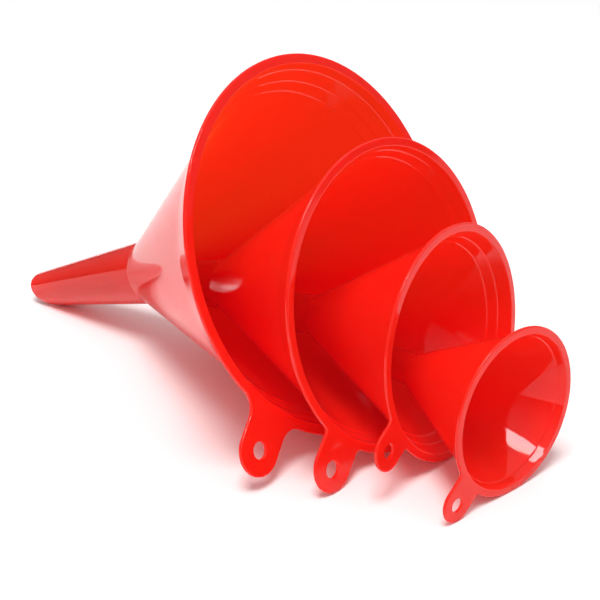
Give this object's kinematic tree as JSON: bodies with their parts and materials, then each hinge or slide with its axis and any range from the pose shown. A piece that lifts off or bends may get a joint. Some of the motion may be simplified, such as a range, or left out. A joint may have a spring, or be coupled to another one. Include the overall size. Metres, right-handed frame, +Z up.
{
  "type": "nested funnel set",
  "caption": "Graduated set of round plastic funnels nested mouth in mouth, each with a stepped lip, a tapered stem with a slanted outlet and a flat hanging tab with a hole.",
  "frame": {"origin": "centre of the set's bounding box, at table level", "axes": "+Z up; +X horizontal, the way the largest funnel's mouth faces; +Y horizontal, to the right of someone who faces the mouths"},
  "size_m": [0.225, 0.1206, 0.1129],
  "materials": {
    "red_plastic_large": "gloss",
    "red_plastic_medium": "gloss",
    "red_plastic_small": "gloss",
    "red_plastic_mini": "gloss"
  },
  "bodies": {
    "large": {"funnel_large": "red_plastic_large"},
    "medium": {"funnel_medium": "red_plastic_medium"},
    "small": {"funnel_small": "red_plastic_small"},
    "mini": {"funnel_mini": "red_plastic_mini"}
  },
  "joints": [
    {"name": "medium_pull", "type": "slide", "parent": "large", "child": "medium", "axis": [0.9767, -0.0375, 0.2113], "range_m": [0, 0.11]},
    {"name": "small_pull", "type": "slide", "parent": "medium", "child": "small", "axis": [0.9946, 0.0104, 0.1028], "range_m": [0, 0.08]},
    {"name": "mini_pull", "type": "slide", "parent": "small", "child": "mini", "axis": [0.9875, -0.1546, 0.0314], "range_m": [0, 0.05]}
  ]
}
